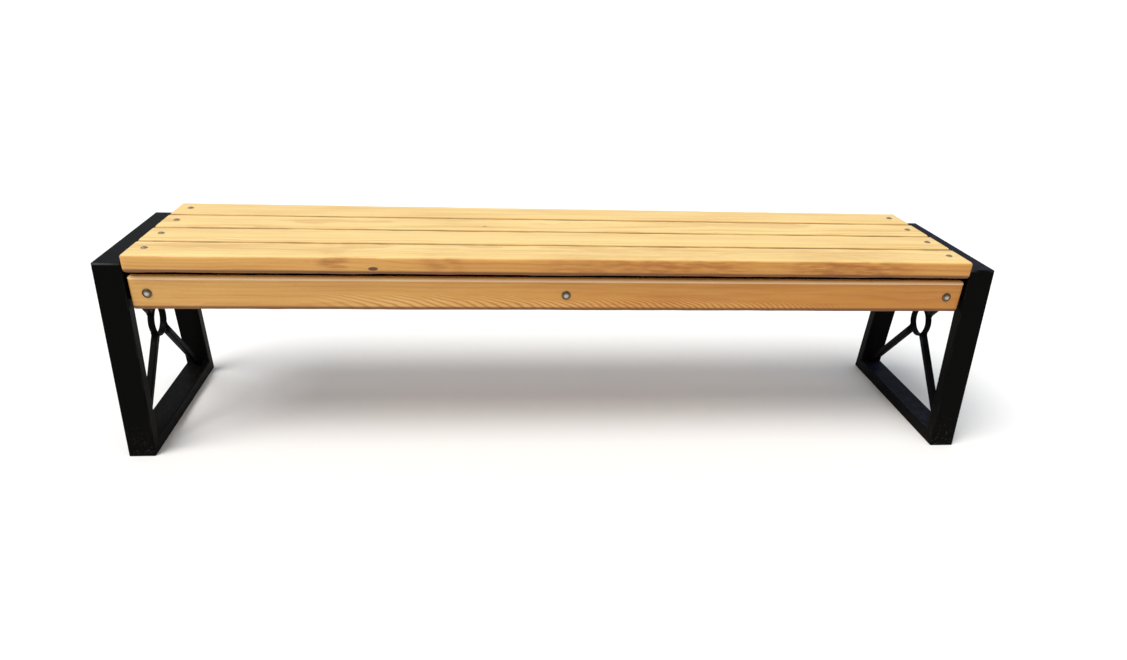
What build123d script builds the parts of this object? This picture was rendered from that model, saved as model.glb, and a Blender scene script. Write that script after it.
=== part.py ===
from build123d import *
import os
from math import atan2, cos, tan
from types import SimpleNamespace

# Backless street bench, in millimetres.
# X runs along the seat, Y from its front edge (-) to its rear edge (+), and Z up from the ground.
# The origin lies on the ground, under the middle of the seat.

# ---- Driving dimensions: the whole bench ----
overall_length = 2000.0      # over the outer faces of the two end frames
frame_height = 450.0         # ground to the top of an end frame
foot_spread = 40.0           # a leg's foot stands this far outside its top

# ---- Rectangular steel tube of the end frames ----
tube_width = 60.0            # side that lies along the bench
tube_thickness = 30.0        # side that lies in the plane of the frame
tube_wall = 2.0
tube_corner = 3.0            # outer corner radius

# ---- Brace inside each end frame ----
ring_diameter = 80.0         # over the ring
ring_wall = 5.0
ring_width = 15.0            # along the bench
brace_bar = 15.0             # side of the square bar

# ---- Seat slats ----
slat_count = 4
slat_width = 98.0
slat_gap = 8.0
slat_thickness = 40.0
slat_edge = 8.0              # rounding of every edge
slat_end_gap = 4.0           # from a slat's end to the end frame
seat_rise = 22.0             # slat tops above the end frames' tops
seat_overhang = 13.0         # outer slats beyond the end frames' tops, front and rear

# ---- Aprons, the boards on edge under the front and rear slats ----
apron_height = 75.0
apron_thickness = 20.0
apron_edge = 6.0             # rounding of every edge
apron_drop = 12.0            # apron top below the slats' undersides

# ---- Steel under the seat ----
plate = 5.0                  # thickness of the angles and seat rails
angle_web = 40.0             # vertical leg of the angle
angle_root = 6.0             # radius in the angle's corner
bolt_to_web = 25.0           # from the slat bolts to the outer face of the angle's web
rail_depth = 70.0            # of the flat bars on edge behind the aprons
rail_clearance = 3.0         # least gap between a seat rail and the washers of the outer slats
rail_lap = 1.0               # least reach of a seat rail's back beyond the legs' inner faces
cross_tube_width = 40.0
cross_tube_height = 20.0
cross_tube_wall = 2.0
cross_tube_corner = 2.5

# ---- Fasteners ----
# Carriage bolts with their washers and nuts: M6 through the slats, M8 through the aprons.
slat_bolt = SimpleNamespace(diameter=6.0, head_diameter=14.0, head_height=3.3, neck_depth=4.0,
                            washer_diameter=12.0, nut_across_flats=10.0, nut_height=5.0,
                            thread_beyond_nut=8.4)
apron_bolt = SimpleNamespace(diameter=8.0, head_diameter=20.0, head_height=4.6, neck_depth=5.0,
                             washer_diameter=16.0, nut_across_flats=13.0, nut_height=6.5,
                             thread_beyond_nut=6.9)
bolt_clearance = 0.5         # around the shank, in wood and steel
bolt_head_rim = 0.8
bolt_end_chamfer = 1.0
bolt_inset = 36.0            # from a board's end to its bolts
washer_thickness = 1.6
washer_clearance = 0.2
screw_diameter = 6.0
screw_clearance = 0.25       # around the screw, in steel
screw_bite = 25.0            # length of the screw inside a slat
screw_tip = 5.0
screw_head_across_flats = 10.0
screw_head_height = 4.0
pilot_spare = 3.0            # pilot hole beyond the screw's tip

# ---- Worked-out places ----
frame_inner_x = overall_length / 2 - tube_width
frame_centre_x = overall_length / 2 - tube_width / 2

seat_top = frame_height + seat_rise
seat_underside = seat_top - slat_thickness
slat_pitch = slat_width + slat_gap
seat_depth = slat_count * slat_pitch - slat_gap
slat_y = [(i - (slat_count - 1) / 2) * slat_pitch for i in range(slat_count)]
board_length = 2 * (frame_inner_x - slat_end_gap)
end_bolt_x = board_length / 2 - bolt_inset

frame_top_depth = seat_depth - 2 * seat_overhang
frame_foot_depth = frame_top_depth + 2 * foot_spread
leg_lean = atan2(foot_spread, frame_height)

angle_flange = slat_end_gap + bolt_inset + bolt_to_web
# A seat rail clears the outer slats' washers and overlaps the legs, which it's welded to.
leg_inner_y = (frame_top_depth / 2 + (frame_height - seat_underside) * tan(leg_lean)
               - tube_thickness / cos(leg_lean))
rail_back_y = max(slat_y[-1] + slat_bolt.washer_diameter / 2 + rail_clearance, leg_inner_y + rail_lap)
apron_back_y = rail_back_y + plate
apron_face_y = apron_back_y + apron_thickness
apron_centre_z = seat_underside - apron_drop - apron_height / 2
apron_bolt_x = (-end_bolt_x, 0.0, end_bolt_x)

screw_length = cross_tube_height + screw_bite

os.makedirs("parts", exist_ok=True)


def bolt_length(size, board):
    """Length under the head: the board, the steel, the washer, the nut and the thread that shows."""
    return board + plate + washer_thickness + size.nut_height + size.thread_beyond_nut


def save(piece, name):
    """Label a finished piece and write it as its own STEP file."""
    piece.part.label = name
    export_step(piece.part, f"parts/{name}.step")


# ---- End frames ----
def frame_corners(inset, x=0.0):
    """Corners of an end frame's outline moved inward: front foot, rear foot, rear top, front top."""
    low, high = inset, frame_height - inset
    reach = [frame_foot_depth / 2 - z * tan(leg_lean) - inset / cos(leg_lean) for z in (low, high)]
    return [Vector(x, -reach[0], low), Vector(x, reach[0], low),
            Vector(x, reach[1], high), Vector(x, -reach[1], high)]


def mitred_tube(x, first):
    """Tube from one corner of an end frame to the next, with both ends cut on the mitre."""
    outer = frame_corners(0, x)
    axis = frame_corners(tube_thickness / 2, x)
    last = (first + 1) % 4
    start, end = axis[first], axis[last]
    mitres = [Plane(axis[i], z_dir=(axis[i] - outer[i]).cross(Vector(1, 0, 0))) for i in (first, last)]
    with BuildPart() as tube:
        with BuildSketch(Plane((start + end) / 2, x_dir=(1, 0, 0), z_dir=end - start)):
            RectangleRounded(tube_width, tube_thickness, tube_corner)
            RectangleRounded(tube_width - 2 * tube_wall, tube_thickness - 2 * tube_wall,
                             tube_corner - tube_wall, mode=Mode.SUBTRACT)
        extrude(amount=(end - start).length / 2 + tube_thickness, both=True)
        split(bisect_by=mitres[0], keep=Keep.TOP)
        split(bisect_by=mitres[1], keep=Keep.BOTTOM)
    return tube


opening = frame_corners(tube_thickness)
# The brace is centred where the two diagonals of the frame's opening cross.
brace_height = opening[0].Z + (opening[2].Z - opening[0].Z) * opening[1].Y / (opening[1].Y + opening[2].Y)


def brace_ring(x):
    """Round ring of flat bar at the crossing of the brace."""
    with BuildPart() as ring:
        with BuildSketch(Plane.YZ.offset(x - ring_width / 2)):
            with Locations((0, brace_height)):
                Circle(ring_diameter / 2)
                Circle(ring_diameter / 2 - ring_wall, mode=Mode.SUBTRACT)
        extrude(amount=ring_width)
    return ring


def brace_diagonal(x, corner):
    """Square bar from the ring into one corner of the frame, cut to fit both."""
    centre = Vector(x, 0, brace_height)
    toward_corner = opening[corner] + Vector(x, 0, 0) - centre
    with BuildPart() as bar:
        with BuildSketch(Plane(centre, x_dir=(1, 0, 0), z_dir=toward_corner)):
            Rectangle(brace_bar, brace_bar)
        extrude(amount=toward_corner.length + brace_bar)
        with BuildSketch(Plane.YZ.offset(x)):
            Polygon(*[(point.Y, point.Z) for point in opening], align=None)
            with Locations((0, brace_height)):
                Circle(ring_diameter / 2, mode=Mode.SUBTRACT)
        extrude(amount=brace_bar, both=True, mode=Mode.INTERSECT)
    return bar


tube_names = ("bottom_rail", "rear_leg", "top_rail", "front_leg")
diagonal_names = ("lower_front_diagonal", "lower_rear_diagonal",
                  "upper_rear_diagonal", "upper_front_diagonal")
for side, x in (("left", -frame_centre_x), ("right", frame_centre_x)):
    for first, name in enumerate(tube_names):
        save(mitred_tube(x, first), f"{side}_{name}")
    for corner, name in enumerate(diagonal_names):
        save(brace_diagonal(x, corner), f"{side}_{name}")
    save(brace_ring(x), f"{side}_brace_ring")


# ---- Seat slats ----
def seat_slat(y):
    """Slat with rounded edges, bolted near both ends and screwed from below in the middle."""
    with BuildPart() as slat:
        with BuildSketch(Plane.XY.offset(seat_underside)):
            with Locations((0, y)):
                Rectangle(board_length, slat_width)
        extrude(amount=slat_thickness)
        fillet(slat.edges(), radius=slat_edge)
        with BuildSketch(Plane.XY.offset(seat_top)):
            with Locations((-end_bolt_x, y), (end_bolt_x, y)):
                Rectangle(slat_bolt.diameter, slat_bolt.diameter)
        extrude(amount=-slat_bolt.neck_depth, mode=Mode.SUBTRACT)
        with Locations((-end_bolt_x, y, seat_top), (end_bolt_x, y, seat_top)):
            Hole(slat_bolt.diameter / 2 + bolt_clearance, depth=slat_thickness)
        with BuildSketch(Plane.XY.offset(seat_underside)):
            with Locations((0, y)):
                Circle(screw_diameter / 2)
        extrude(amount=screw_bite + pilot_spare, mode=Mode.SUBTRACT)
    return slat


slat_names = ("front_slat", "front_middle_slat", "rear_middle_slat", "rear_slat")
for name, y in zip(slat_names, slat_y):
    save(seat_slat(y), name)


# ---- Aprons ----
def upright_plane(side, y):
    """Plane at distance y from the middle that faces outward: side -1 is the front, 1 the rear."""
    return Plane((0, side * y, 0), x_dir=(-side, 0, 0), z_dir=(0, side, 0))


def apron_board(side):
    """Board on edge with rounded edges and three bolt holes."""
    with BuildPart() as board:
        with BuildSketch(upright_plane(side, apron_face_y)):
            with Locations((0, apron_centre_z)):
                Rectangle(board_length, apron_height)
        extrude(amount=-apron_thickness)
        fillet(board.edges(), radius=apron_edge)
        with BuildSketch(upright_plane(side, apron_face_y)):
            with Locations(*[(x, apron_centre_z) for x in apron_bolt_x]):
                Rectangle(apron_bolt.diameter, apron_bolt.diameter)
        extrude(amount=-apron_bolt.neck_depth, mode=Mode.SUBTRACT)
        with BuildSketch(upright_plane(side, apron_face_y)):
            with Locations(*[(x, apron_centre_z) for x in apron_bolt_x]):
                Circle(apron_bolt.diameter / 2 + bolt_clearance)
        extrude(amount=-apron_thickness, mode=Mode.SUBTRACT)
    return board


save(apron_board(-1), "front_apron")
save(apron_board(1), "rear_apron")


# ---- Steel under the seat ----
def cross_angle(side):
    """Rolled angle welded along an end frame's top rail, under the ends of the slats."""
    web_x = frame_inner_x - angle_flange
    with BuildPart() as angle:
        with BuildSketch(Plane.XZ.offset(-rail_back_y)) as section:
            with BuildLine():
                Polyline((side * frame_inner_x, seat_underside),
                         (side * web_x, seat_underside),
                         (side * web_x, seat_underside - angle_web),
                         (side * (web_x + plate), seat_underside - angle_web),
                         (side * (web_x + plate), seat_underside - plate),
                         (side * frame_inner_x, seat_underside - plate),
                         close=True)
            make_face()
            root = (side * (web_x + plate), seat_underside - plate)
            fillet(section.vertices().sort_by_distance(root)[0], radius=angle_root)
        extrude(amount=2 * rail_back_y)
        with Locations(*[(side * end_bolt_x, y, seat_underside) for y in slat_y]):
            Hole(slat_bolt.diameter / 2 + bolt_clearance, depth=plate)
    return angle


def cross_tube():
    """Flat rectangular tube that carries the middle of the slats, from one seat rail to the other."""
    with BuildPart() as tube:
        with BuildSketch(Plane.XZ.offset(-rail_back_y)):
            with Locations((0, seat_underside - cross_tube_height / 2)):
                RectangleRounded(cross_tube_width, cross_tube_height, cross_tube_corner)
                RectangleRounded(cross_tube_width - 2 * cross_tube_wall,
                                 cross_tube_height - 2 * cross_tube_wall,
                                 cross_tube_corner - cross_tube_wall, mode=Mode.SUBTRACT)
        extrude(amount=2 * rail_back_y)
        with Locations(*[(0, y, seat_underside) for y in slat_y]):
            Hole(screw_diameter / 2 + screw_clearance, depth=cross_tube_height)
    return tube


def seat_rail(side):
    """Flat bar on edge behind an apron, welded to both end frames: side -1 is the front, 1 the rear."""
    with BuildPart() as rail:
        with BuildSketch(Plane.XZ.offset(-side * apron_back_y)):
            with Locations((0, seat_underside - rail_depth / 2)):
                Rectangle(2 * frame_inner_x, rail_depth)
            with Locations(*[(x, apron_centre_z) for x in apron_bolt_x]):
                Circle(apron_bolt.diameter / 2 + bolt_clearance, mode=Mode.SUBTRACT)
        extrude(amount=side * plate)
    return rail


save(cross_angle(-1), "left_cross_angle")
save(cross_angle(1), "right_cross_angle")
save(cross_tube(), "middle_cross_tube")
save(seat_rail(-1), "front_seat_rail")
save(seat_rail(1), "rear_seat_rail")


# ---- Fasteners ----
def carriage_bolt(size, length):
    """Dome-headed bolt that stands head up, with the head's underside at height 0."""
    radius = size.head_diameter / 2
    with BuildPart() as bolt:
        with BuildSketch(Plane.XZ):
            with BuildLine():
                Polyline((0, size.head_height), (0, 0), (radius, 0), (radius, bolt_head_rim))
                TangentArc((0, size.head_height), (radius, bolt_head_rim), tangent=(1, 0),
                           tangent_from_first=True)
            make_face()
        revolve(axis=Axis.Z)
        with BuildSketch():
            Rectangle(size.diameter, size.diameter)
        extrude(amount=-size.neck_depth)
        with BuildSketch():
            Circle(size.diameter / 2)
        extrude(amount=-length)
        chamfer(bolt.edges().group_by(Axis.Z)[0], length=bolt_end_chamfer)
    return bolt


def washer(size):
    """Flat washer that lies just below height 0."""
    with BuildPart() as ring:
        with BuildSketch():
            Circle(size.washer_diameter / 2)
            Circle(size.diameter / 2 + washer_clearance, mode=Mode.SUBTRACT)
        extrude(amount=-washer_thickness)
    return ring


def nut(size):
    """Hexagon nut just below height 0, with its flats along the bench."""
    with BuildPart() as hexagon:
        with BuildSketch():
            RegularPolygon(size.nut_across_flats / 2, 6, major_radius=False)
            Circle(size.diameter / 2, mode=Mode.SUBTRACT)
        extrude(amount=-size.nut_height)
    return hexagon


def wood_screw():
    """Hexagon-headed wood screw that points up, with the head's underside at height 0."""
    with BuildPart() as screw:
        with BuildSketch():
            RegularPolygon(screw_head_across_flats / 2, 6, major_radius=False)
        extrude(amount=-screw_head_height)
        with BuildSketch():
            Circle(screw_diameter / 2)
        extrude(amount=screw_length)
        chamfer(screw.edges().group_by(Axis.Z)[-1], length=screw_tip, length2=screw_diameter * 0.4)
    return screw


def save_group(piece, places, name):
    """Write copies of one fastener at all its places as a single node."""
    with BuildPart() as group:
        with Locations(*places):
            add(piece.part)
    save(group, name)


slat_bolt_spots = [(x, y) for x in (-end_bolt_x, end_bolt_x) for y in slat_y]


def slat_places(z):
    """Places of the slat bolts at height z."""
    return [(x, y, z) for x, y in slat_bolt_spots]


def apron_places(y):
    """Outward-facing places at the apron bolts, at distance y from the middle of the bench."""
    return [Location(upright_plane(side, y)) * Location((-side * x, apron_centre_z, 0))
            for side in (-1, 1) for x in apron_bolt_x]


slat_bolt_length = bolt_length(slat_bolt, slat_thickness)
save_group(carriage_bolt(slat_bolt, slat_bolt_length), slat_places(seat_top), "slat_bolts")
save_group(washer(slat_bolt), slat_places(seat_underside - plate), "slat_washers")
save_group(nut(slat_bolt), slat_places(seat_underside - plate - washer_thickness), "slat_nuts")
apron_bolt_length = bolt_length(apron_bolt, apron_thickness)
save_group(carriage_bolt(apron_bolt, apron_bolt_length), apron_places(apron_face_y), "apron_bolts")
save_group(washer(apron_bolt), apron_places(rail_back_y), "apron_washers")
save_group(nut(apron_bolt), apron_places(rail_back_y - washer_thickness), "apron_nuts")

screw_places = [(0, y, seat_underside - cross_tube_height) for y in slat_y]
save_group(wood_screw(), screw_places, "slat_screws")
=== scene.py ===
# %% [markdown]
# # A backless bench: larch boards on two black steel end frames
#
# The bench already exists as exact solids, one for every board, tube, rail and bolt. They are loaded
# here as a fixed frame, in metres, with X along the seat, the front at -Y and Z up. The lesson dresses
# that frame: the boards, the brace and the welds are built again with the softness that a saw, sandpaper
# and a welding torch leave, and everything gets a finish worked out by shader nodes.

# %% Load the frame
import math

import bpy
import numpy as np
from mathutils import Matrix, Vector


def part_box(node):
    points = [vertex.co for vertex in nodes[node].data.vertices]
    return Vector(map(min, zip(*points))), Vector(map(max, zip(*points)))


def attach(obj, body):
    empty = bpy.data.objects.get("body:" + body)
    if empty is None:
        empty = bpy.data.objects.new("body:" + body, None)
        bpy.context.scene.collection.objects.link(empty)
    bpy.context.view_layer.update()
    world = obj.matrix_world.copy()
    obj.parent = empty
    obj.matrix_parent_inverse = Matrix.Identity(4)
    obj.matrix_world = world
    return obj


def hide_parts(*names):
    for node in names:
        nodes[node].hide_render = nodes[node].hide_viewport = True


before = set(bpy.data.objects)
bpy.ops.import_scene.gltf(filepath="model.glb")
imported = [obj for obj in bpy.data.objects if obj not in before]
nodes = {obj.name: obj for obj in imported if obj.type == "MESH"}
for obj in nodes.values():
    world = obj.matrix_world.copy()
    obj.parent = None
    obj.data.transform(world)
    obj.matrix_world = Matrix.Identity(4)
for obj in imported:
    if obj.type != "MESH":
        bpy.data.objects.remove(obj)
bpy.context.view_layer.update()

# %% [markdown]
# ## Measuring the bench
# Every size here starts from the solids. A node's box gives a board's length, the width of a tube or the
# middle of a ring, so nothing has to be typed twice and the new pieces cannot drift from the frame.

# %% Read sizes off the solids
MM = 0.001


def corners(name):
    """Lowest and highest corner of a solid part, as two arrays in metres."""
    low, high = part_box(name)
    return np.array(low), np.array(high)


def middle(name):
    """Middle of a solid part's box."""
    return sum(corners(name)) / 2


foot_low, foot_high = corners("left_bottom_rail")
top_high = corners("left_top_rail")[1]
frame_height = top_high[2]
tube_deep = foot_high[2] - foot_low[2]
tube_wide = foot_high[0] - foot_low[0]
foot_reach = foot_high[1]
leg_lean = math.atan2(foot_reach - top_high[1], frame_height)
frame_x = {side: middle(f"{side}_bottom_rail")[0] for side in ("left", "right")}
print(f"frames {frame_height:.3f} m high, tube {tube_wide:.3f} x {tube_deep:.3f} m, "
      f"legs lean {math.degrees(leg_lean):.1f} degrees")

# %% Where the bolts are
bolt_low, bolt_high = corners("apron_bolts")
apron_head = (bolt_high[2] - bolt_low[2]) / 2
end_bolt_x = bolt_high[0] - apron_head
slat_head = corners("slat_bolts")[1][0] - end_bolt_x
outer_slat_y, inner_slat_y = middle("rear_slat")[1], middle("rear_middle_slat")[1]
apron_bolt_z = middle("front_apron")[2]
print(f"end bolts at {end_bolt_x:.3f} m from the middle, heads {2 * slat_head:.3f} m across on the slats "
      f"and {2 * apron_head:.3f} m on the aprons")

# %% [markdown]
# ## Skins: the one way every new surface is made
# A board, a bar, a ring and a weld bead are all one idea: a closed outline, repeated along a path. Numpy
# works out all the points at once as a grid of rows (outlines) and columns (points of an outline). The
# grid becomes four-sided faces, and an open path is closed at both ends by a fan of triangles to one
# pole. The signed volume then tells whether the faces look out or in, and turns them if they must.


# %% Turn a grid of outlines into a closed skin
def skin(grid, closed_path=False):
    """Points and faces of one closed surface.

    A face joins two neighbouring columns of one outline with the same columns of the next one. The
    volume is the sum of a . (b x c) / 6 over the triangles, and is above zero when they look outward.
    """
    rows, columns = grid.shape[:2]
    number = np.arange(rows * columns).reshape(rows, columns)
    here, there = (number, np.roll(number, -1, axis=0)) if closed_path else (number[:-1], number[1:])
    quads = np.stack((here, there, np.roll(there, -1, axis=1), np.roll(here, -1, axis=1)), axis=-1)
    quads = quads.reshape(-1, 4)
    points, fans = grid.reshape(-1, 3), np.empty((0, 3), int)
    if not closed_path:
        first, last = len(points), len(points) + 1
        start = np.stack((number[0], np.roll(number[0], -1), np.full(columns, first)), axis=-1)
        end = np.stack((np.roll(number[-1], -1), number[-1], np.full(columns, last)), axis=-1)
        points = np.concatenate((points, grid[:1].mean(axis=1), grid[-1:].mean(axis=1)))
        fans = np.concatenate((start, end))
    triangles = np.concatenate((quads[:, [0, 1, 2]], quads[:, [0, 2, 3]], fans))
    a, b, c = (points[triangles[:, i]] for i in range(3))
    if np.einsum("ij,ij->i", a, np.cross(b, c)).sum() < 0:
        quads, fans = quads[:, ::-1], fans[:, ::-1]
    return points, quads.tolist() + fans.tolist()


# %% Make a finished piece from skins
def add_piece(name, skins, finish, stands_for=(), traits=None):
    """One object made of one or more skins. A trait is a number at every point, read by the finish."""
    points, faces, first = [], [], 0
    for skin_points, skin_faces in skins:
        points.append(skin_points)
        faces += [[first + corner for corner in face] for face in skin_faces]
        first += len(skin_points)
    mesh = bpy.data.meshes.new(name)
    mesh.from_pydata(np.concatenate(points).tolist(), [], faces)
    mesh.polygons.foreach_set("use_smooth", np.ones(len(faces), bool))
    for trait, values in (traits or {}).items():
        mesh.attributes.new(trait, "FLOAT", "POINT").data.foreach_set("value", values.astype(np.float32))
    mesh.materials.append(finish)
    mesh.update()
    piece = bpy.data.objects.new(name, mesh)
    bpy.context.scene.collection.objects.link(piece)
    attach(piece, "root")
    if stands_for:
        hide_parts(*stands_for)
    print(f"{name}: {len(mesh.vertices)} points, {len(faces)} faces")


# %% [markdown]
# ## One outline for everything with rounded edges
# A planed board, a flat bar and a square bar share one outline: a rectangle with rounded corners. Each of
# its points is an anchor and a direction. The anchor follows the half sizes, the direction is scaled by
# the corner's radius. So the same points give any size and any radius, and also the outline moved
# inward, which is what rounds the end of a board.


# %% Points of a rounded rectangle
def rounded_outline(arc_steps, width_steps, height_steps):
    """Anchors in -1..1 and unit directions of the points, once round from the lower right corner."""
    anchors, directions = [], []
    walk = ((1, -1), (1, 1), (-1, 1), (-1, -1))
    for quarter, corner in enumerate(walk):
        angle = np.linspace(-math.pi / 2, 0, arc_steps + 1) + quarter * math.pi / 2
        arc = np.stack((np.cos(angle), np.sin(angle)), axis=1)
        steps = (height_steps, width_steps)[quarter % 2]
        share = np.linspace(0, 1, steps + 1)[1:-1, None]
        side = np.array(corner) * (1 - share) + np.array(walk[(quarter + 1) % 4]) * share
        anchors += [np.tile(corner, (arc_steps + 1, 1)), side]
        directions += [arc, np.tile(arc[-1], (steps - 1, 1))]
    return np.concatenate(anchors).astype(float), np.concatenate(directions)


def rounded_section(outline, width, height, radius, inset=0.0):
    """Outline of a width x height rectangle, moved inward by inset. The sizes may differ from row to row.

    A point is anchor * (half size - radius) + direction * (radius - inset).
    """
    anchors, directions = outline
    half = np.stack(np.broadcast_arrays(width, height), axis=-1)[..., None, :] / 2
    radius, inset = (np.asarray(v, float)[..., None, None] for v in (radius, inset))
    return anchors * (half - radius) + directions * (radius - inset)


board_outline = rounded_outline(6, 14, 6)
print("points once round a board:", len(board_outline[0]))

# %% [markdown]
# ## Boards
# The boards were sawn, planed, and had their edges rounded with a hand-held router and sandpaper, so an
# edge is never quite the same along two metres of larch. A board is its outline carried along X. At each
# end the outline moves inward along a quarter circle, then shrinks to the middle, which gives round end
# edges and a flat end face. Slow sums of waves vary the edges and sides by a few tenths of a
# millimetre: that is what turns the gap between two slats into a living, broken line.


# %% Slow hand-made unevenness
def drift(along, seed, longest, shortest, waves=7):
    """Hyperbolic tangent of a sum of sines with lengths from longest to shortest: always within -1..1."""
    random = np.random.default_rng(seed)
    lengths = np.geomspace(longest, shortest, waves)
    phases = random.uniform(0, 2 * math.pi, waves)
    heights = random.uniform(0.4, 1.0, waves) * (lengths / longest) ** 0.3
    swings = np.sin(2 * math.pi * np.asarray(along)[..., None] / lengths + phases) * heights
    return np.tanh(2.2 * swings.sum(axis=-1) / heights.sum())


print("drift at five places of one metre:", drift(np.linspace(0, 1, 5), 1, 0.50, 0.04).round(2))


# %% Outlines along a board
board_step = 10 * MM


def board_rows(half_length, edge):
    """Place along the board, inward move and shrinkage of every outline.

    Round end: place = half length - edge * (1 - sin), inset = edge * (1 - cos), over a quarter turn. On
    the end face the outline keeps its place and shrinks towards the middle.
    """
    turn = np.linspace(0, math.pi / 2, 9)
    shrink = np.array((0.97, 0.85, 0.6, 0.3))
    straight = half_length - edge
    end_place = np.append(straight + edge * np.sin(turn), np.full(len(shrink), half_length))
    end_inset = np.append(edge * (1 - np.cos(turn)), np.full(len(shrink), edge))
    end_shrink = np.append(np.ones(len(turn)), shrink)
    count = int(2 * straight / board_step) - 1
    between = np.linspace(-straight, straight, count + 2)[1:-1]
    return (np.concatenate((-end_place[::-1], between, end_place)),
            np.concatenate((end_inset[::-1], np.zeros(count), end_inset)),
            np.concatenate((end_shrink[::-1], np.ones(count), end_shrink)))


# %% The surface of one board
def board(name, edge, seed, edge_play, side_play):
    """Skin and traits of a board that stays inside its solid's box.

    Corner radius = edge * (1 + edge_play * drift). Each side stands back by side_play * (1 + drift) / 2.
    """
    low, high = corners(name)
    size, centre = high - low, (low + high) / 2
    place, inset, shrink = board_rows(size[0] / 2, edge)
    radius = edge * (1 + edge_play * drift(place, seed, 0.50, 0.04))
    front, rear, under = (side_play * (1 + drift(place, seed + i, 0.80, 0.07)) / 2 for i in (1, 2, 3))
    section = rounded_section(board_outline, size[1] - front - rear, size[2] - under, radius,
                              np.minimum(inset, radius)) * shrink[:, None, None]
    grid = np.empty(section.shape[:2] + (3,))
    grid[..., 0] = place[:, None] + centre[0]
    grid[..., 1] = section[..., 0] + centre[1] + (front - rear)[:, None] / 2
    grid[..., 2] = section[..., 1] + centre[2] + under[:, None] / 2
    directions = board_outline[1]
    round_end = (inset / edge)[:, None]
    traits = {"end_grain": round_end ** 2 * np.ones(len(directions)),
              "faces_up": (1 - round_end) * np.clip(directions[:, 1], 0, 1),
              "worn_edge": (1 - round_end) * np.abs(directions).min(axis=1) * math.sqrt(2)}
    at_pole = {"end_grain": 1, "faces_up": 0, "worn_edge": 0}
    return skin(grid), {trait: np.append(values, [at_pole[trait]] * 2) for trait, values in traits.items()}


slat_edge = 8 * MM
slat_end = corners("rear_slat")[1][0]
print("outlines along a slat:", len(board_rows(slat_end, slat_edge)[0]))

# %% [markdown]
# ## Shader sums as plain arithmetic
# A finish is mostly arithmetic on distances: how far is this spot from the heart of the tree, how far from
# a bolt. `Wire` wraps the output of a node, so that `1 - mask` or `ring * 0.3` adds the Math node that it
# needs. `Finish` holds one material and adds every other kind of node by one method.


# %% Wires that can be added and multiplied
class Wire:
    """Output of a node that stands in arithmetic. Each operator adds its Math node."""

    def __init__(self, finish, socket):
        self.finish = finish
        self.socket = socket

    def math(self, operation, *values):
        """This wire first and then the values, through one Math node."""
        return self.finish.add("ShaderNodeMath", {"operation": operation}, dict(enumerate((self, *values))))

    def after(self, operation, value):
        """The value first and then this wire, for the reflected operators."""
        return self.finish.add("ShaderNodeMath", {"operation": operation}, {0: value, 1: self})

    def __add__(self, value):
        return self.math("ADD", value)

    def __radd__(self, value):
        return self.after("ADD", value)

    def __sub__(self, value):
        return self.math("SUBTRACT", value)

    def __rsub__(self, value):
        return self.after("SUBTRACT", value)

    def __mul__(self, value):
        return self.math("MULTIPLY", value)

    def __rmul__(self, value):
        return self.after("MULTIPLY", value)

    def __truediv__(self, value):
        return self.math("DIVIDE", value)

    def __abs__(self):
        return self.math("ABSOLUTE")


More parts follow.
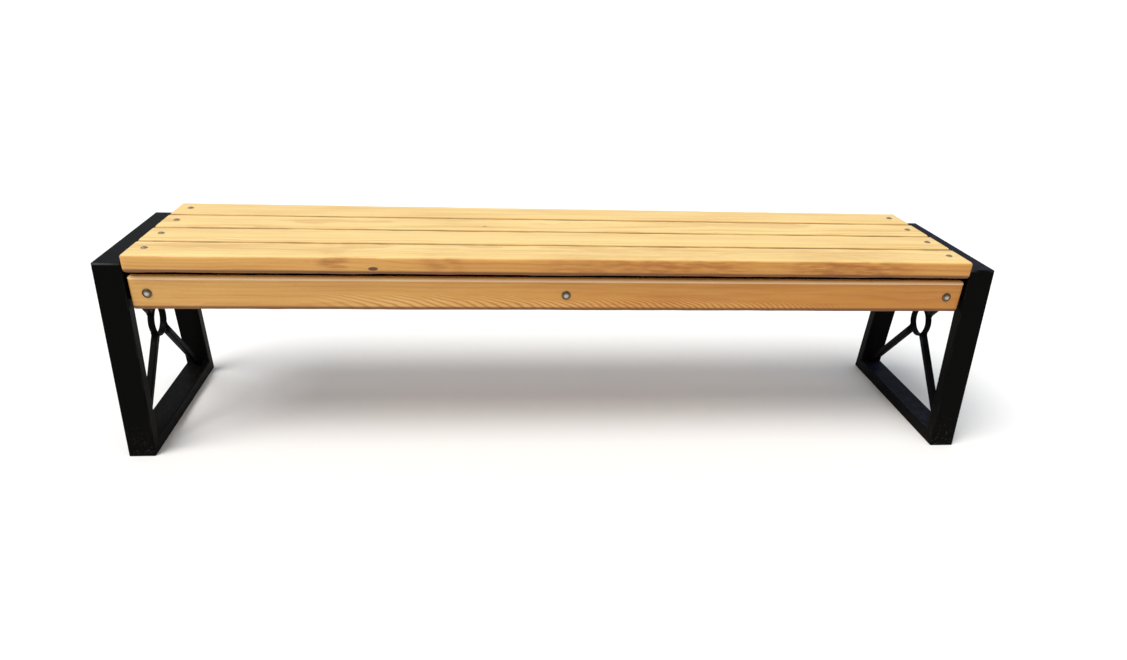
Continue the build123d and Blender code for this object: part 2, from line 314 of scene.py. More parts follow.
# %% A material and the one method that adds its nodes
class Finish:
    """A material with a Principled shader."""

    def __init__(self, name):
        self.material = bpy.data.materials.new(name)
        self.material.use_nodes = True
        self.tree = self.material.node_tree
        self.shader = self.tree.nodes["Principled BSDF"]

    def put(self, socket, value):
        """Link a wire to a socket, or set the socket's own value."""
        if isinstance(value, Wire):
            self.tree.links.new(value.socket, socket)
        else:
            socket.default_value = value

    def add(self, kind, settings=None, sockets=None, output=0):
        """Add a node: its settings first, then the values or links of its sockets. Gives one output."""
        node = self.tree.nodes.new(kind)
        for setting, value in (settings or {}).items():
            setattr(node, setting, value)
        for socket, value in (sockets or {}).items():
            self.put(node.inputs[socket], value)
        return Wire(self, node.outputs[output])

    def surface(self, **looks):
        """Set or link the shader's sockets, named with underscores for spaces."""
        for name, value in looks.items():
            self.put(self.shader.inputs[name.replace("_", " ")], value)
        print(f"{self.material.name}: {len(self.tree.nodes)} nodes")
        return self.material

    def place(self, origin=(0.0, 0.0, 0.0)):
        """Place on the object in millimetres, counted from an origin given in metres."""
        there = self.add("ShaderNodeTexCoord", output="Object")
        return self.add("ShaderNodeMapping", None, {"Vector": there, "Scale": (1 / MM,) * 3,
                                                    "Location": [-float(v) / MM for v in origin]})

    def axes(self, vector):
        """X, Y and Z of a vector, as three wires."""
        return [self.add("ShaderNodeSeparateXYZ", None, {0: vector}, i) for i in range(3)]

    def vector(self, operation, *vectors, output=0):
        """The vectors through one Vector Math node."""
        return self.add("ShaderNodeVectorMath", {"operation": operation}, dict(enumerate(vectors)), output)

    def lumps(self, place, size, seed=0.0, detail=2.0, output=0):
        """Cloudy pattern in 0..1 whose lumps have that size in millimetres along X, Y and Z."""
        lumps_per_mm = tuple(1 / length for length in size)
        start = (seed, seed * 1.7, seed * 2.9)
        cells = self.vector("MULTIPLY_ADD", place, lumps_per_mm, start)
        sockets = {"Vector": cells, "Scale": 1.0, "Detail": detail}
        return self.add("ShaderNodeTexNoise", None, sockets, output)

    def fade(self, value, start, end):
        """0 at start and 1 at end, smooth in between. Start may be the larger of the two."""
        return self.add("ShaderNodeMapRange", {"interpolation_type": "SMOOTHSTEP"},
                        {"Value": value, "From Min": start, "From Max": end})

    def blend(self, share, first, second, how="MIX"):
        """Colour that turns from first to second, or to their product, as share goes from 0 to 1."""
        return self.add("ShaderNodeMix", {"data_type": "RGBA", "blend_type": how},
                        {0: share, 6: first, 7: second}, 2)

    def trait(self, name):
        """The number that the mesh carries at every point under that name."""
        return self.add("ShaderNodeAttribute", {"attribute_name": name}, output="Fac")

    def relief(self, height):
        """Normal of a relief whose height is given in millimetres."""
        return self.add("ShaderNodeBump", None, {"Height": height, "Distance": MM})


print("shader helpers ready")

# %% [markdown]
# ## Larch under honey glaze
# A board is a cut through a tree, so its grain is worked out in three dimensions. The distance from the
# heart of the tree, bent by slow noise, is divided by one year's growth. What is left after the whole
# years is the place within a year: pale early wood that darkens slowly, then stops at once. A flat face
# cuts these rings into long lines or into tongues and the end face shows arcs, all from the same sum.

# %% Colours of wood, glaze and grime, with painted light and shade
# The top colours are the wood with painted light on it; the side colours are the same wood with painted
# shade.
PALE_LIT_TOP = (0.89, 0.65, 0.268, 1)
LINE_LIT_TOP = (0.66, 0.39, 0.12, 1)
PALE_SHADED_SIDE = (0.72, 0.405, 0.115, 1)
LINE_SHADED_SIDE = (0.52, 0.23, 0.055, 1)
TONGUE = (0.88, 0.55, 0.21, 1)
HEARTWOOD = (0.36, 0.13, 0.028, 1)
KNOT_WOOD = (0.07, 0.030, 0.012, 1)
END_WOOD = (0.42, 0.23, 0.09, 1)
HONEY = (0.76, 0.57, 0.33, 1)
# Painted shade for the rounded lower edges of the boards.
SHADE_UNDER_EDGE = (0.13, 0.040, 0.014, 1)
# Painted shade for the gaps and the rims of the zinc heads, also used for a darker ring round the bolt
# heads.
SHADE_AND_GRIME = (0.09, 0.055, 0.026, 1)
# Painted highlight for the upper rounded edge of the aprons.
EDGE_HIGHLIGHT = (1.0, 0.72, 0.45, 1)
print("a deep coat of honey glaze lets through", HONEY[:3])


# %% Distance from the heart of the tree
heart_wander = 24
ring_swell = 5


def from_heart(wood, place, seed, heart, lean):
    """Distance in millimetres: length of (y - heart - lean * x, z - heart - lean * x), bent by noise."""
    x, y, z = wood.axes(place)
    wander = wood.lumps(place, (420, math.inf, math.inf), seed, 1.0, output="Color")
    wander_y, wander_z, _ = wood.axes(wander)
    across = y - (x * lean[0] + heart[0]) + (wander_y - 0.5) * heart_wander
    upward = z - (x * lean[1] + heart[1]) + (wander_z - 0.5) * heart_wander
    swell = wood.lumps(place, (85, 26, 26), seed + 5) - 0.5
    return (across * across + upward * upward).math("SQRT") + swell * ring_swell


print("the heart wanders by up to", heart_wander / 2, "mm each way")


# %% [markdown]
# ## Tongues of grain
# Where a saw runs out through the years at a slant, every year shows as a short light tongue with a dark
# edge. The front apron has a row of them along its lower half, long at the left and closer together
# towards the right. They are counted along a slanting line: the count grows faster and faster with x.


# %% Slanting tongues along the lower half of a board
tongue_length = 21
crowding = 42000
straightening = 1600
tongue_bend = 34


def tongues(wood, place, seed, row):
    """Mask of the whole row, and light in 0..1 within each tongue.

    count = s / tongue_length + s * s / crowding, where s = x + (1 - x / straightening) * (0.7 t + 0.05 t t)
    is bent by noise and t is the height over the lower edge. Row is the z where the highest tongues end,
    the z below which all are there, and the z of the lower edge.
    """
    x, _, z = wood.axes(place)
    highest, full, lower_edge = row
    height = z - lower_edge
    bend = wood.lumps(place, (110, 60, 22), seed + 9) - 0.5
    curl = height * (height * 0.05 + 0.7) * (1 - x * (1 / straightening))
    slant = x + curl + bend * tongue_bend
    within = (slant * (1 / tongue_length) + slant * slant * (1 / crowding)).math("FRACT")
    upper_end = wood.lumps(place, (60, 60, math.inf), seed + 11) * 40 - 20
    in_row = wood.fade(z + x * 0.008 + upper_end, highest, full)
    in_row = in_row * wood.fade(x, -620, -380) * wood.fade(x, 720, 460)
    return in_row, wood.fade(within, 0.02, 0.30) * wood.fade(within, 1.0, 0.66)


print("tongues are", tongue_length, "mm apart in the middle of the board")


# %% [markdown]
# ## Knots
# A knot is a branch: a flattened cylinder that starts at the heart of the tree. The year rings flow round
# it like water round a stone, so near the branch the rings are pushed outward before they are counted.
# The push reaches further along the grain than across it.


# %% Branches through a board
def branches(wood, place, heart, lean, year, knots):
    """How much the years are pushed, the mask of the knots, and their own fine rings.

    Distance from a branch = length of (place - spot) x axis, with the axis from the heart to the spot.
    """
    push, mask, rings = 0.0, 0.0, 0.0
    for x, y, z, radius in knots:
        axis = Vector((2.0, y - heart[0] - lean[0] * x, z - heart[1] - lean[1] * x)).normalized()
        offset = wood.vector("SUBTRACT", place, (x, y, z))
        spike, along_grain = (wood.vector("MULTIPLY", offset, (shrink, 1.0, 1.0)) for shrink in (0.3, 0.25))
        near, flow = (wood.vector("LENGTH", wood.vector("CROSS_PRODUCT", away, tuple(axis)), output="Value")
                      for away in (spike, along_grain))
        pull = wood.fade(flow, radius * 4.5, 0)
        push = pull * pull * (radius * 1.2 / year) + push
        mask = wood.fade(near, radius * 1.15, radius * 0.75) + mask
        rings = near * 0.9 + rings
    return push, mask, rings


# %% Distance from the nearest bolt
def from_bolt(finish, on_seat):
    """Millimetres from the axis of the nearest bolt, measured on the seat or on the face of an apron.

    Taking the absolute value folds the bench at its middle, so one sum serves both ends and all slats.
    """
    x, y, z = finish.axes(finish.place())
    along = abs(abs(x) - end_bolt_x / MM)
    if on_seat:
        across = abs(abs(y) - inner_slat_y / MM).math("MINIMUM", abs(abs(y) - outer_slat_y / MM))
    else:
        along, across = along.math("MINIMUM", abs(x)), z - apron_bolt_z / MM
    return (along * along + across * across).math("SQRT")


# %% What weather and use add to a board, with painted shade and highlight on its edges
def weathered(wood, board_name, place, y, z, seed, gaps, colour):
    """Colour with painted shade on the rounded lower edge and along the gaps between slats, darker wood
    round the bolt heads, and a painted highlight on an apron's upper edge.

    Every mask is a fade over a few millimetres, counted from the board's own edges or from a bolt.
    """
    on_seat = board_name.endswith("slat")
    head = (slat_head if on_seat else apron_head) / MM
    half_wide, half_high = (corners(board_name)[1] - middle(board_name))[1:] / MM
    faces_z = wood.axes(wood.add("ShaderNodeTexCoord", output="Normal"))[2]
    # Painted shade: the rounded lower edge of each board is darkened as if in shadow.
    lower_edge = wood.fade(z, 11.5 - half_high, 6.5 - half_high) * wood.fade(faces_z, -0.98, -0.80)
    colour = wood.blend(lower_edge * 0.85, colour, SHADE_UNDER_EDGE)
    if not on_seat:
        # Painted highlight: a thin light band along the apron's upper rounded edge.
        painted_edge_highlight = wood.fade(z, half_high - 8.5, half_high - 6) * wood.fade(z, half_high, half_high - 4)
        colour = wood.blend(painted_edge_highlight * 0.6, colour, EDGE_HIGHLIGHT)
    # Painted shade: a broken dark line along each side that faces a gap between slats.
    for side in gaps:
        broken = wood.fade(wood.lumps(place, (120, 60, 60), seed + side * 2, 3.0), 0.32, 0.62) * 0.6 + 0.28
        gap_shade = wood.fade(y * side, half_wide - 4.5, half_wide - 1) * wood.fade(z, half_high, half_high - 6)
        colour = wood.blend(gap_shade * broken, colour, SHADE_AND_GRIME)
    # Darker in a ring round each bolt head.
    near_bolt = wood.fade(from_bolt(wood, on_seat), head + 3, head - 1)
    return wood.blend(near_bolt * 0.35, colour, SHADE_AND_GRIME)


# %% The whole finish of one board
def larch(board_name, seed, heart, lean, year, lines=0.5, row=None, knots=(), patches=(), depth=0.0,
          honey=(0.0, 0.0), gaps=()):
    """Glazed larch. Places are in millimetres from the board's middle, and depth makes the wood darker.

    A knot is (x, y, z, radius). A patch of heartwood is (x, half length, strength). Lines is the
    strength of the years. Honey is the depth of the glaze at the left and the right end. Gaps are the
    sides, -1 or 1 along y, where the next slat is near and painted shade darkens the edge of the gap.
    """
    wood = Finish(f"larch_{board_name}")
    place = wood.place(middle(board_name))
    x, y, z = wood.axes(place)
    distance = from_heart(wood, place, seed, heart, lean)
    push, knot_mask, knot_rings = branches(wood, place, heart, lean, year, knots)
    uneven_years = wood.add("ShaderNodeTexNoise", {"noise_dimensions": "1D"},
                            {"W": distance * (1 / 34) + seed, "Scale": 1.0, "Detail": 1.0})
    years = distance * (1 / year) + uneven_years * 2.4 + push
    within = years.math("FRACT")
    each_year = wood.add("ShaderNodeTexWhiteNoise", {"noise_dimensions": "1D"},
                         {"W": years.math("FLOOR") + seed}, output="Value")
    line = wood.fade(within, 0.30, 0.88) * wood.fade(within, 1.0, 0.92) * (each_year * 0.7 + 0.3)
    fibre = wood.lumps(place, (130, 1.2, 1.2), seed, 3.0) - 0.5
    streak = wood.lumps(place, (420, 8, 8), seed + 2, 3.0) - 0.5
    cloud = wood.lumps(place, (260, 45, 45), seed + 3) - 0.5
    dash = wood.fade(wood.lumps(place, (16, 0.8, 0.8), seed + 4, 1.0), 0.66, 0.74)
    tone = wood.fade(line * lines + fibre * 0.4 + streak * 0.9 + cloud * 0.8 + 0.2 + depth, -0.15, 1.1)

    top, end, worn = (wood.trait(name) for name in ("faces_up", "end_grain", "worn_edge"))
    top = wood.fade(top, 0.40, 1.0)
    # Faces that look up get the painted lit colours, and the sides get the painted shaded copies.
    colour = wood.blend(tone, wood.blend(top, PALE_SHADED_SIDE, PALE_LIT_TOP), wood.blend(top, LINE_SHADED_SIDE, LINE_LIT_TOP))
    if row:
        in_row, light = tongues(wood, place, seed, row)
        colour = wood.blend(in_row * light * 0.55, colour, TONGUE)
        colour = wood.blend(in_row * (1 - light) * 0.42, colour, HEARTWOOD)
    for patch_x, half_length, strength in patches:
        reach = wood.fade(abs(x - patch_x), half_length, half_length * 0.3)
        ragged = wood.fade(wood.lumps(place, (48, 20, 7), seed + patch_x), 0.30, 0.66)
        colour = wood.blend(reach * ragged * (1 - top * 0.8) * strength, colour, HEARTWOOD)
    colour = wood.blend(dash * 0.3, colour, HEARTWOOD)
    colour = wood.blend(worn * (1 - end) * 0.15, colour, PALE_LIT_TOP)
    colour = wood.blend(end * 0.7, colour, END_WOOD)
    if any(honey):
        coat = wood.fade(x, -800, 500) * (honey[1] - honey[0]) + honey[0]
        coat = coat * (wood.lumps(place, (180, 40, 16), seed + 6) + 0.5) * (1 - top)
        colour = wood.blend(coat, colour, HONEY, how="MULTIPLY")
    if knots:
        colour = wood.blend(knot_mask * (knot_rings.math("FRACT") * 0.10 + 0.88), colour, KNOT_WOOD)
    colour = weathered(wood, board_name, place, y, z, seed, gaps, colour)
    height = line * 0.05 + fibre * 0.10 + streak * 0.12 - dash * 0.06
    return wood.surface(Base_Color=colour, Roughness=fibre * 0.16 - line * 0.07 + end * 0.25 + 0.46,
                        Normal=wood.relief(height), Specular_IOR_Level=0.35)


# %% [markdown]
# ## The six boards of this bench
# Each board has its own place in its own tree. The front slat shows darker heartwood along its front
# face and a small black knot. The front apron was cut close to the heart, low on the board, so tongues of
# grain run along its lower half while its upper half stays straight.

# %% Four slats
slats = {
    "front_slat": dict(seed=3.1, heart=(30, -62), lean=(0.012, 0.006), year=6.5, lines=0.34,
                       knots=((-420, -47, -7, 3.3),),
                       patches=((-502, 46, 0.7), (-270, 60, 0.5), (60, 150, 0.5), (270, 200, 0.62),
                                (640, 210, 0.72)),
                       depth=0.06, honey=(0.25, 0.75), gaps=(1,)),
    "front_middle_slat": dict(seed=7.7, heart=(-70, -48), lean=(-0.010, 0.012), year=5.5,
                              depth=0.0, gaps=(-1, 1)),
    "rear_middle_slat": dict(seed=12.4, heart=(12, -90), lean=(0.016, -0.008), year=7.5,
                             knots=((-180, -20, 20, 1.8),), depth=0.03, gaps=(-1, 1)),
    "rear_slat": dict(seed=18.9, heart=(85, -30), lean=(0.008, 0.010), year=5.0,
                      knots=((520, 49, -15, 4.0),), depth=0.04, honey=(0.3, 0.5), gaps=(-1,)),
}
for number, (name, growing) in enumerate(slats.items()):
    surface, traits = board(name, slat_edge, 40 + 10 * number, edge_play=0.22, side_play=0.9 * MM)
    add_piece(f"planed_{name}", [surface], larch(name, **growing), [name], traits)

# %% Two aprons
apron_edge = 6 * MM
aprons = {
    "front_apron": dict(seed=23.3, heart=(32, -26), lean=(0.014, 0.004), year=6.0, lines=0.30,
                        row=(0, -20, -37), depth=0.05, honey=(0.1, 1.0)),
    "rear_apron": dict(seed=29.8, heart=(-36, 18), lean=(-0.010, 0.010), year=5.5, lines=0.45,
                       knots=((260, 10, -12, 5.0),), depth=0.08, honey=(0.6, 0.3)),
}
for number, (name, growing) in enumerate(aprons.items()):
    surface, traits = board(name, apron_edge, 90 + 10 * number, edge_play=0.15, side_play=0.5 * MM)
    add_piece(f"planed_{name}", [surface], larch(name, **growing), [name], traits)

# %% [markdown]
# ## Black powder coat
# The steel was welded, ground and powder coated: a satin black skin a tenth of a millimetre thick that
# pools a little, so it has a fine orange peel. It reflects weakly and its edges are rubbed slightly
# grey. What faces up is dusty and also carries a painted bluish reflection of the sky, stronger on
# the right frame, and a painted highlight runs along the frames' top outer corners. These marks and
# the rub follow the surface, not the camera.


# %% Paint for all the steel
FRESH_BLACK = (0.0032, 0.0030, 0.0028, 1)
RUBBED_BLACK = (0.018, 0.018, 0.019, 1)
CORNER_HIGHLIGHT = (0.11, 0.11, 0.10, 1)
DUST_AND_SKY_SHEEN = (0.020, 0.024, 0.058, 1)
SPLASHED = (0.08, 0.075, 0.065, 1)


def powder_coat():
    """Satin black with orange peel, rubbed edges, a painted highlight on the top outer corners, dusty tops
    with a painted bluish sky reflection, and dull spots near the ground.
    """
    paint = Finish("black_powder_coat")
    place = paint.place()
    x, _, z = paint.axes(place)
    normal_x, _, normal_z = paint.axes(paint.add("ShaderNodeTexCoord", output="Normal"))
    peel = paint.lumps(place, (2.6, 2.6, 2.6)) - 0.5
    pool = paint.lumps(place, (38, 38, 38), 4) - 0.5
    from_tube_middle = abs(abs(x) - frame_x["right"] / MM)
    half_tube = tube_wide / MM / 2
    rub = paint.fade(from_tube_middle, half_tube - 3, half_tube - 1)
    rub = rub * paint.fade(abs(normal_x), 0.95, 0.7) * paint.fade(pool, -0.1, 0.25)
    # Dust mixed with a painted bluish sky reflection on faces that look up, stronger on the right frame.
    dust_and_sheen = paint.fade(normal_z, 0.6, 0.98) * paint.fade(paint.lumps(place, (24, 24, 24), 8, 5.0), 0.30, 0.8)
    dust_and_sheen = dust_and_sheen * (paint.fade(x, -200, 800) * 0.95 + 0.05)
    splash = paint.fade(z, 110, 0) * paint.fade(paint.lumps(place, (5, 5, 5), 13, 4.0), 0.56, 0.72)
    # Painted highlight: a thin light line along the top outer corner of the end frames.
    corner_highlight = paint.fade(frame_height / MM - z, 5.5, 3.0) * paint.fade(normal_z, 0.5, 0.3)
    colour = paint.blend(rub * 0.5, FRESH_BLACK, RUBBED_BLACK)
    colour = paint.blend(corner_highlight * paint.fade(pool, -0.2, 0.1) * 0.7, colour, CORNER_HIGHLIGHT)
    colour = paint.blend(dust_and_sheen * 0.7, colour, DUST_AND_SKY_SHEEN)
    colour = paint.blend(splash * 0.30, colour, SPLASHED)
    roughness = peel * 0.10 + pool * 0.12 + dust_and_sheen * 0.15 + splash * 0.2 + 0.36
    return paint.surface(Base_Color=colour, Roughness=roughness, IOR=1.07,
                         Normal=paint.relief(peel * 0.05 + pool * 0.10))


paint = powder_coat()

# %% [markdown]
# ## Bright zinc
# Bolts, washers, nuts and screws are zinc plated: a bluish bright metal with a faint crystal bloom and
# duller, slightly brown film where fingers and rain have been. The heads on the outside have lost most of
# their shine, above all on the seat. It is a metal, so nearly all its look comes from roughness.


# %% Plating for the fasteners
def zinc_plate(name, bright, dull, film_share, head=None):
    """Plated steel: bloom in patches two millimetres wide, film in clouds, and painted shade towards the
    rim of an apron's domed heads.
    """
    zinc = Finish(name)
    place = zinc.place()
    bloom = zinc.lumps(place, (1.8, 1.8, 1.8), 2, 3.0) - 0.5
    film = zinc.fade(zinc.lumps(place, (7, 7, 7), 6, 3.0), 0.42, 0.72) * film_share
    colour = zinc.blend(film, bright, dull)
    if head:
        # Painted shade: an apron's domed head darkens towards its rim, so its middle reads as lit.
        rim_shade = zinc.fade(from_bolt(zinc, on_seat=False), head / MM * 0.15, head / MM * 0.75)
        colour = zinc.blend(rim_shade * 0.93, colour, SHADE_AND_GRIME)
    return zinc.surface(Base_Color=colour, Metallic=1.0, Roughness=bloom * 0.15 + film * 0.3 + 0.24,
                        Normal=zinc.relief(bloom * 0.02))


BRIGHT_ZINC = (0.66, 0.64, 0.60, 1)
DULL_ZINC = (0.34, 0.31, 0.26, 1)
WORN_ZINC = (0.52, 0.48, 0.41, 1)
BROWN_ZINC = (0.42, 0.36, 0.27, 1)
BROWN_FILM = (0.17, 0.14, 0.10, 1)
finish_of_node = {
    "apron_bolts": zinc_plate("zinc_apron_heads", WORN_ZINC, DULL_ZINC, 0.7, apron_head),
    "slat_bolts": zinc_plate("zinc_slat_heads", BROWN_ZINC, BROWN_FILM, 0.9),
}
zinc = zinc_plate("bright_zinc", BRIGHT_ZINC, DULL_ZINC, 0.6)

# %% Give the finishes to the solids that stay
finish_of_slot = {"frame_paint": paint, "zinc": zinc}
for name, node in nodes.items():
    for slot in node.material_slots:
        slot.material = finish_of_node.get(name) or finish_of_slot.get(slot.material.name, slot.material)
print("solids that keep their shape:", sum(not node.hide_render for node in nodes.values()))

# %% [markdown]
# ## The brace in each end frame
# A small ring of flat bar sits where the diagonals of the opening cross, and four square bars run from it
# into the corners. Real square bar has slightly rounded edges that catch a line of light. Each edge line
# of a bar runs from the ring's round outside to the nearer of the two tubes, so both ends fit like
# the real cut ones.

# %% The opening that the brace fills
def opening_corner(side, top):
    """Inner corner (y, z) of an end frame. Reach = foot reach - z * tan(lean) - tube / cos(lean)."""
    z = frame_height - tube_deep if top else tube_deep
    return np.array((side * (foot_reach - z * math.tan(leg_lean) - tube_deep / math.cos(leg_lean)), z))


ring_low, ring_high = corners("left_brace_ring")
ring_radius = (ring_high[2] - ring_low[2]) / 2
ring_wide = ring_high[0] - ring_low[0]
ring_middle = middle("left_brace_ring")[1:]
bar_low, bar_high = corners("left_lower_front_diagonal")
bar_size = bar_high[0] - bar_low[0]
print(f"ring {2 * ring_radius:.3f} m across at {ring_middle[1]:.3f} m, bars {bar_size:.3f} m square")


# %% One diagonal bar
bar_outline = rounded_outline(3, 4, 4)
bar_edge = 1.3 * MM


def brace_bar(x, side, top):
    """Grid of outlines from the ring to a corner of the opening.

    An edge line with sideways offset b starts at sqrt(R^2 - b^2) from the ring's middle, and ends at the
    smaller of its distances to the rail's face and to the leg's face.
    """
    corner = opening_corner(side, top)
    toward = (corner - ring_middle) / np.linalg.norm(corner - ring_middle)
    beside = np.array((-toward[1], toward[0]))
    section = rounded_section(bar_outline, bar_size, bar_size, bar_edge)
    start_point = ring_middle + section[:, 1:] * beside
    start = np.sqrt(ring_radius ** 2 - section[:, 1] ** 2)
    leg_face = np.array((side, math.tan(leg_lean)))
    to_rail = (corner[1] - start_point[:, 1]) / toward[1]
    to_leg = ((corner - start_point) @ leg_face) / (toward @ leg_face)
    end = np.minimum(to_rail, to_leg)
    share = np.linspace(0, 1, 9)[:, None]
    distance = start * (1 - share) + end * share
    grid = np.empty(distance.shape + (3,))
    grid[..., 0] = x + section[:, 0]
    grid[..., 1:] = start_point + distance[..., None] * toward
    return grid, np.array((0.0, *toward))


# %% The ring
ring_wall = 5 * MM
ring_edge = 0.9 * MM


def brace_ring(x):
    """Flat bar with rounded edges carried round a circle: y = (radius + outline) * cos, z likewise sin."""
    section = rounded_section(rounded_outline(3, 3, 6), ring_wall, ring_wide, ring_edge)
    turn = np.linspace(0, 2 * math.pi, 97)[:-1, None]
    radius = ring_radius - ring_wall / 2 + section[:, 0]
    grid = np.empty((len(turn), len(section), 3))
    grid[..., 0] = x + section[:, 1]
    grid[..., 1] = ring_middle[0] + radius * np.cos(turn)
    grid[..., 2] = ring_middle[1] + radius * np.sin(turn)
    return skin(grid, closed_path=True)


corner_names = {(-1, False): "lower_front", (1, False): "lower_rear",
                (1, True): "upper_rear", (-1, True): "upper_front"}
bars = {(frame_side, corner): brace_bar(x, *corner) for frame_side, x in frame_x.items()
        for corner in corner_names}
for (frame_side, corner), (grid, _) in bars.items():
    stands_for = f"{frame_side}_{corner_names[corner]}_diagonal"
    add_piece(f"{frame_side}_{corner_names[corner]}_bar", [skin(grid)], paint, [stands_for])
for frame_side, x in frame_x.items():
    add_piece(f"{frame_side}_ring", [brace_ring(x)], paint, [f"{frame_side}_brace_ring"])

# %% [markdown]
# ## Welds
# Every joint in the steel was closed with a bead: a string of overlapping puddles, half sunk in the metal.
# A bead is a circle carried along the joint's own line. Its radius swells a little at each puddle and
# rounds off at the ends. Seen under paint, beads are what makes a frame look welded and not moulded.


# %% A weld bead along any line
bead_step = 0.8 * MM
puddle = 2.6 * MM


def bead(line, radius, sideways, seed, closed=False):
    """Skin of a bead. Radius = radius * (1 + 0.12 * cos(puddles) + 0.08 * drift), rounded at open ends.

    The line is cut into equal steps, and the circle stands across its direction.
    """
    line = np.asarray(line, float)
    if closed:
        line = np.concatenate((line, line[:1]))
    gone = np.concatenate(([0], np.cumsum(np.linalg.norm(np.diff(line, axis=0), axis=1))))
    count = max(6, int(gone[-1] / bead_step))
    along = np.linspace(0, gone[-1], count + 1)
    along = along[:-1] if closed else along
    path = np.stack([np.interp(along, gone, line[:, i]) for i in range(3)], axis=1)
    ahead = np.roll(path, -1, axis=0) - np.roll(path, 1, axis=0) if closed else np.gradient(path, axis=0)
    first = np.cross(ahead, sideways)
    first /= np.linalg.norm(first, axis=1)[:, None]
    second = np.cross(first, ahead)
    second /= np.linalg.norm(second, axis=1)[:, None]
    puddles = 0.12 * np.cos(2 * math.pi * along / puddle)
    swell = radius * (1 + puddles + 0.08 * drift(along, seed, 0.03, 0.006))
    if not closed:
        to_end = np.clip(np.minimum(along, gone[-1] - along) / radius, 0, 1)
        swell = swell * np.sqrt(1 - (1 - to_end) ** 2 * 0.98)
    turn = np.linspace(0, 2 * math.pi, 9)[:-1]
    grid = (path[:, None] + swell[:, None, None]
            * (first[:, None] * np.cos(turn)[:, None] + second[:, None] * np.sin(turn)[:, None]))
    return skin(grid, closed_path=closed)


print(f"a puddle of weld every {puddle / MM:.1f} mm")


# %% Beads of an end frame
X_AXIS, Y_AXIS, Z_AXIS = np.eye(3)
corner_bead, bar_bead, seam_bead = 3.0 * MM, 1.7 * MM, 1.5 * MM


def frame_beads(frame_side):
    """Beads in the four inner corners, round both ends of each bar, and ground seams on the mitres."""
    x, beads = frame_x[frame_side], []
    for number, (side, top) in enumerate(corner_names):
        grid, toward = bars[frame_side, (side, top)]
        beads += [bead(grid[end], bar_bead, toward, number + 4, closed=True) for end in (0, -1)]
        inner = opening_corner(side, top)
        for half in (-1, 1):
            reach = x + half * np.array((bar_size / 2 + 2 * MM, tube_wide / 2 - 2 * MM))
            line = [(reach[0], *inner), (reach[1], *inner)]
            beads.append(bead(line, corner_bead, Z_AXIS, number + 3 * half + 10))
        outer_z = frame_height if top else 0.0
        outer = np.array((side * (foot_reach - outer_z * math.tan(leg_lean)), outer_z))
        trimmed = [outer + (inner - outer) * share for share in (0.06, 0.94)]
        for half in (-1, 1):
            face = x + half * (tube_wide / 2 - seam_bead * 0.80)
            beads.append(bead([(face, *point) for point in trimmed], seam_bead, X_AXIS, number + 20))
        sunk = outer + np.array((-side, -1 if top else 1)) * seam_bead * (0.85, 0.85 if top else 1.2)
        edge = [(x + half * (tube_wide / 2 - 2.5 * MM), *sunk) for half in (-1, 1)]
        beads.append(bead(edge, seam_bead, Z_AXIS, number + 30))
    return beads


for frame_side in frame_x:
    add_piece(f"{frame_side}_frame_welds", frame_beads(frame_side), paint)

# %% [markdown]
# ## Welds under the seat
# Nobody sees these while sitting down, but a bench is often turned over. Short stitches hold the angles
# to the top rails, upright beads hold the long flat rails to the end frames and the angle webs to the
# rails, and a bead runs round three sides of each end of the flat cross tube.

# %% Stitches and beads on the steel that carries the seat
rail_low, rail_high = corners("rear_seat_rail")
plate = rail_high[1] - rail_low[1]
seat_bead = 2.3 * MM
stitch_long = 34 * MM
stitch_from_end = 0.035
stitch_count = 5
print(f"plate {plate / MM:.1f} mm thick, {stitch_count} stitches on each angle")


def angle_beads(name):
    """Stitches along an angle, and an upright bead on each end of its web and of the seat rails."""
    low, high = corners(name)
    frame_face, web_face = sorted((low[0], high[0]), key=abs, reverse=True)
    lines = []
    for y in np.linspace(low[1] + stitch_from_end, high[1] - stitch_from_end, stitch_count):
        ends = (y - stitch_long / 2, y + stitch_long / 2)
        lines.append([(frame_face, end, high[2] - plate) for end in ends])
    for y in (low[1], high[1]):
        lines.append(((web_face, y, low[2] + 0.003), (web_face, y, high[2] - 0.006)))
        lines.append(((frame_face, y, rail_low[2] + 0.004), (frame_face, y, high[2] - 0.010)))
    return [bead(line, seat_bead, X_AXIS + Z_AXIS * 0.5, 50 + i) for i, line in enumerate(lines)]


def cross_tube_beads():
    """Down one side of the tube, along its underside and up the other side, at both ends."""
    low, high = corners("middle_cross_tube")
    top = high[2] - 0.005
    outline = ((low[0], top), (low[0], low[2]), (high[0], low[2]), (high[0], top))
    return [bead([(x, y, z) for x, z in outline], seat_bead, Y_AXIS, 70) for y in (low[1], high[1])]


under_seat = cross_tube_beads()
for name in ("left_cross_angle", "right_cross_angle"):
    under_seat += angle_beads(name)
add_piece("under_seat_welds", under_seat, paint)

# %% [markdown]
# ## Floor and light
# A plain pale floor runs to the horizon, so that nothing but the bench has a colour. One broad soft sun
# from the upper left makes the seat the brightest surface, and a slightly cool sky fills the shade.
# Rays that leave the lens and meet no piece see plain white, as with a sheet of paper far behind.

# %% Pale floor that reaches the horizon
floor_half = 300.0
floor_mesh = bpy.data.meshes.new("floor")
floor_points = [(x * floor_half, y * floor_half, 0) for x, y in ((-1, -1), (1, -1), (1, 1), (-1, 1))]
floor_mesh.from_pydata(floor_points, [], [(0, 1, 2, 3)])
floor = bpy.data.objects.new("floor", floor_mesh)
bpy.context.scene.collection.objects.link(floor)
chalk = Finish("pale_floor")
chalk_tone = chalk.lumps(chalk.place(), (900, 900, 900), 1)
chalk_colour = chalk.blend(chalk_tone, (0.87, 0.87, 0.87, 1), (0.89, 0.89, 0.89, 1))
floor_mesh.materials.append(chalk.surface(Base_Color=chalk_colour, Roughness=0.9))

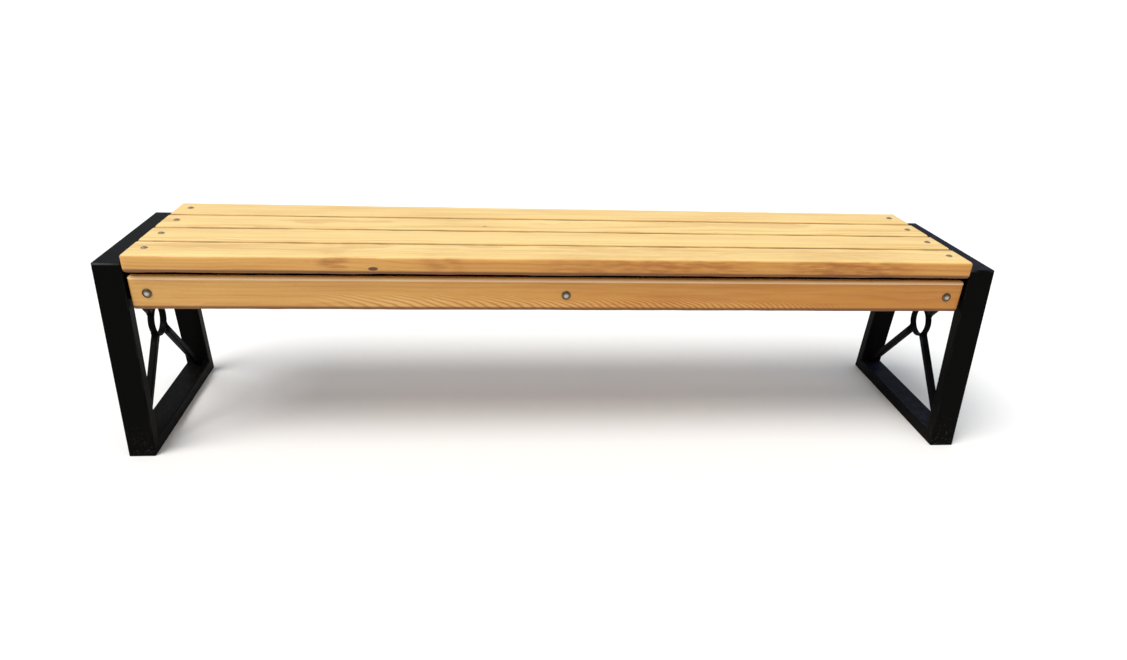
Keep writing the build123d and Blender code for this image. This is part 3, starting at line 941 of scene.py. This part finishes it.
# %% Sky and sun
world = bpy.data.worlds.new("sky")
world.use_nodes = True
bpy.context.scene.world = world
sky_nodes, sky_links = world.node_tree.nodes, world.node_tree.links
sky = sky_nodes["Background"]
sky.inputs["Color"].default_value = (0.90, 0.95, 1.0, 1)
sky.inputs["Strength"].default_value = 0.62
paper = sky_nodes.new("ShaderNodeBackground")
paper.inputs["Color"].default_value = (1, 1, 1, 1)
seen, either = sky_nodes.new("ShaderNodeLightPath"), sky_nodes.new("ShaderNodeMixShader")
sky_links.new(seen.outputs["Is Camera Ray"], either.inputs[0])
sky_links.new(sky.outputs[0], either.inputs[1])
sky_links.new(paper.outputs[0], either.inputs[2])
sky_links.new(either.outputs[0], sky_nodes["World Output"].inputs["Surface"])


def sun(name, strength, comes_from, spread, colour):
    """Sun lamp whose light comes from a direction. Spread is its width in degrees: wide is soft."""
    lamp = bpy.data.lights.new(name, "SUN")
    lamp.energy, lamp.color, lamp.angle = strength, colour, math.radians(spread)
    holder = bpy.data.objects.new(name, lamp)
    holder.rotation_euler = Vector(comes_from).to_track_quat("Z", "Y").to_euler()
    bpy.context.scene.collection.objects.link(holder)


sun("soft_sun", 2.6, (-0.45, -0.30, 1.0), 35, (1.0, 0.97, 0.92))
print("light: sky", sky.inputs["Strength"].default_value, "and one soft sun")

# %% [markdown]
# ## Camera
# A hand-held view from a metre above the ground, a little left of the middle, looking down at the seat. The
# camera is turned in the order yaw, pitch, roll. A small vertical shift keeps the bench high in the frame
# without tilting the camera further.

# %% Camera a metre above the ground
camera_place = Vector((-0.1873, -1.8993, 1.0321))
yaw, pitch, roll = (math.radians(v) for v in (6.438, 28.463, 2.597))
view_width_share = 0.71861
shift_up = 0.0669

ahead = Vector((math.sin(yaw) * math.cos(pitch), math.cos(yaw) * math.cos(pitch), -math.sin(pitch)))
level = Vector((math.cos(yaw), -math.sin(yaw), 0))
upright = level.cross(ahead)
right = level * math.cos(roll) + upright * math.sin(roll)
up = upright * math.cos(roll) - level * math.sin(roll)
lens = bpy.data.cameras.new("view")
lens.lens = lens.sensor_width * view_width_share
lens.shift_y = shift_up
camera = bpy.data.objects.new("view", lens)
camera.matrix_world = Matrix.Translation(camera_place) @ Matrix((right, up, -ahead)).transposed().to_4x4()
bpy.context.scene.collection.objects.link(camera)
bpy.context.scene.camera = camera
bpy.context.scene.view_settings.view_transform = "Standard"
print(f"lens {lens.lens:.1f} mm, camera at", [round(v, 3) for v in camera_place])
